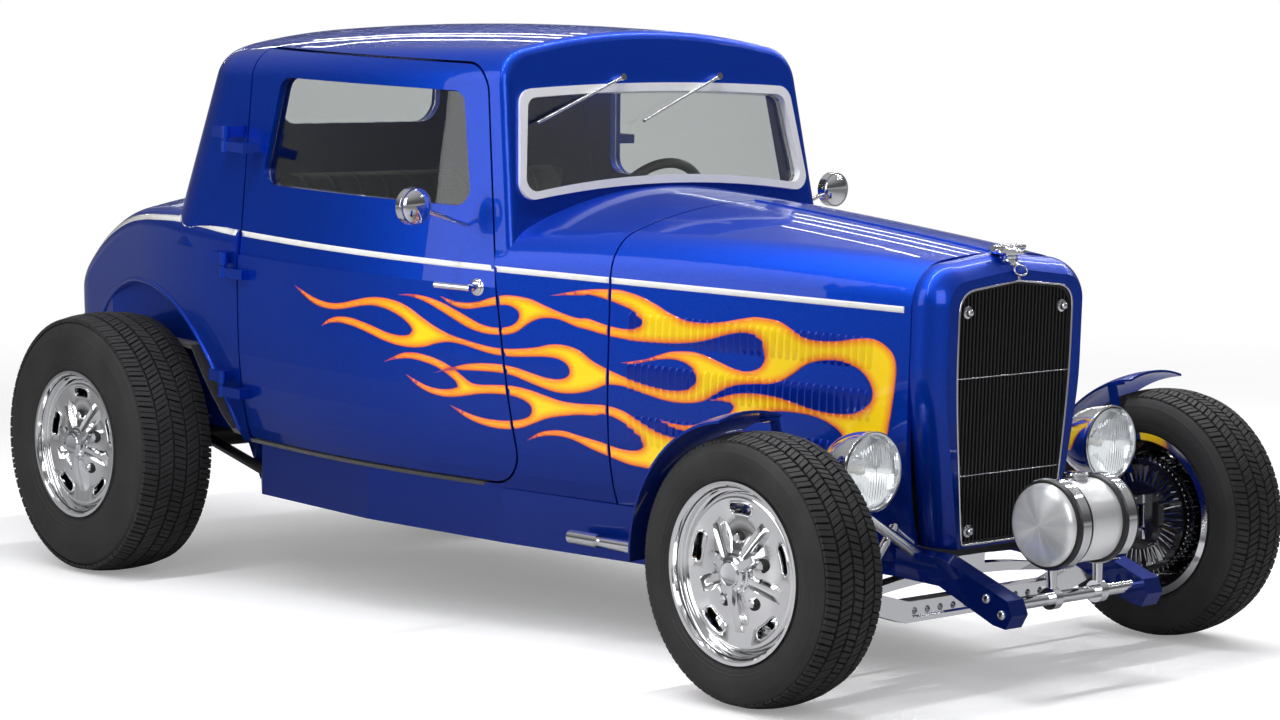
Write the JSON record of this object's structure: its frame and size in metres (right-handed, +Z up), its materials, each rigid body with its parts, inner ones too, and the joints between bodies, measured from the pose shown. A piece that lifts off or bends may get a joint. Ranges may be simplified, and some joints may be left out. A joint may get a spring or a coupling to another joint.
{
  "type": "hot rod coupe",
  "caption": "Raked three-window highboy coupe with open wheels, cycle fenders, spun front tank, rear-hinged doors and a flamed deep blue body.",
  "frame": {"origin": "on the ground under the middle of the whole car", "axes": "+X forward, +Y to the car's left, +Z up"},
  "size_m": [3.8065, 1.6858, 1.552],
  "materials": {
    "blue_paint": "deep candy blue under clear coat",
    "black_paint": "satin black",
    "black_grille": "gloss black bars",
    "chrome": "bright plating",
    "polished_aluminium": "polished",
    "tyre": "black tread rubber",
    "tinted_glass": "dark tint",
    "lamp_glass": "clear fluted lens",
    "red_lens": "red lens",
    "leather": "grey hide",
    "black_plastic": "black grip",
    "cast_iron": "painted casting",
    "brushed_steel": "plain pipe"
  },
  "bodies": {
    "chassis": {"cowl": "blue_paint", "roof": "blue_paint", "rear_body": "blue_paint", "hood_top": "blue_paint", "hood_sides": "blue_paint", "grille_shell": "blue_paint", "frame_rails": "blue_paint", "door_hinges": "blue_paint", "lid_hinges": "blue_paint", "floor_pan": "black_paint", "crossmembers": "black_paint", "spreader_bar": "chrome", "front_tank": "polished_aluminium", "front_axle": "chrome", "front_spring": "chrome", "radius_rods": "chrome", "front_shocks": "chrome", "rear_axle": "black_paint", "rear_links": "black_paint", "rear_coilovers": "chrome", "grille_insert": "black_grille", "radiator": "black_paint", "radiator_cap": "chrome", "headlamp_shells": "chrome", "headlamp_lenses": "lamp_glass", "lamp_stands": "chrome", "tail_lamps": "red_lens", "windshield_frame": "chrome", "fixed_glass": "tinted_glass", "wipers": "chrome", "dashboard": "blue_paint", "seat_cushion": "leather", "seat_back": "leather", "steering_wheel": "black_plastic", "engine_block": "cast_iron", "exhaust": "brushed_steel"},
    "knuckle_left": {"knuckle_left": "chrome", "cycle_fender_left": "blue_paint"},
    "knuckle_right": {"knuckle_right": "chrome", "cycle_fender_right": "blue_paint"},
    "tie_rod": {"tie_rod": "chrome"},
    "front_wheel_left": {"wheel_front_left": "polished_aluminium", "tyre_front_left": "tyre"},
    "front_wheel_right": {"wheel_front_right": "polished_aluminium", "tyre_front_right": "tyre"},
    "rear_wheel_left": {"wheel_rear_left": "polished_aluminium", "tyre_rear_left": "tyre"},
    "rear_wheel_right": {"wheel_rear_right": "polished_aluminium", "tyre_rear_right": "tyre"},
    "door_left": {"door_left": "blue_paint", "door_glass_left": "tinted_glass", "door_trim_left": "chrome"},
    "door_right": {"door_right": "blue_paint", "door_glass_right": "tinted_glass", "door_trim_right": "chrome"},
    "deck_lid": {"deck_lid": "blue_paint"}
  },
  "joints": [
    {"name": "steer_left", "type": "hinge", "parent": "chassis", "child": "knuckle_left", "pos_m": [1.4822, 0.548, 0.313], "axis": [0, 0, 1], "range_deg": [-32, 32]},
    {"name": "steer_right", "type": "hinge", "parent": "chassis", "child": "knuckle_right", "pos_m": [1.4822, -0.548, 0.313], "axis": [0, 0, 1], "range_deg": [-32, 32]},
    {"name": "tie_rod_pivot", "type": "hinge", "parent": "knuckle_left", "child": "tie_rod", "pos_m": [1.3322, 0.548, 0.217], "axis": [0, 0, 1], "range_deg": [-32, 32]},
    {"name": "front_left_spin", "type": "hinge", "parent": "knuckle_left", "child": "front_wheel_left", "pos_m": [1.4822, 0.7, 0.313], "axis": [0, 1, 0], "continuous": true},
    {"name": "front_right_spin", "type": "hinge", "parent": "knuckle_right", "child": "front_wheel_right", "pos_m": [1.4822, -0.7, 0.313], "axis": [0, 1, 0], "continuous": true},
    {"name": "rear_left_spin", "type": "hinge", "parent": "chassis", "child": "rear_wheel_left", "pos_m": [-1.2098, 0.7, 0.369], "axis": [0, 1, 0], "continuous": true},
    {"name": "rear_right_spin", "type": "hinge", "parent": "chassis", "child": "rear_wheel_right", "pos_m": [-1.2098, -0.7, 0.369], "axis": [0, 1, 0], "continuous": true},
    {"name": "door_left_hinge", "type": "hinge", "parent": "chassis", "child": "door_left", "pos_m": [-0.65066, 0.694, 0.89868], "axis": [0.0454, 0, 0.999], "range_deg": [0, 65]},
    {"name": "door_right_hinge", "type": "hinge", "parent": "chassis", "child": "door_right", "pos_m": [-0.65066, -0.694, 0.89868], "axis": [-0.0454, 0, -0.999], "range_deg": [0, 65]},
    {"name": "deck_lid_hinge", "type": "hinge", "parent": "chassis", "child": "deck_lid", "pos_m": [-1.14589, 0, 1.10336], "axis": [0, 1, 0], "range_deg": [0, 60]}
  ],
  "couplings": [
    {"joint": "steer_right", "follows": "steer_left", "ratio": 1},
    {"joint": "tie_rod_pivot", "follows": "steer_left", "ratio": -1}
  ]
}
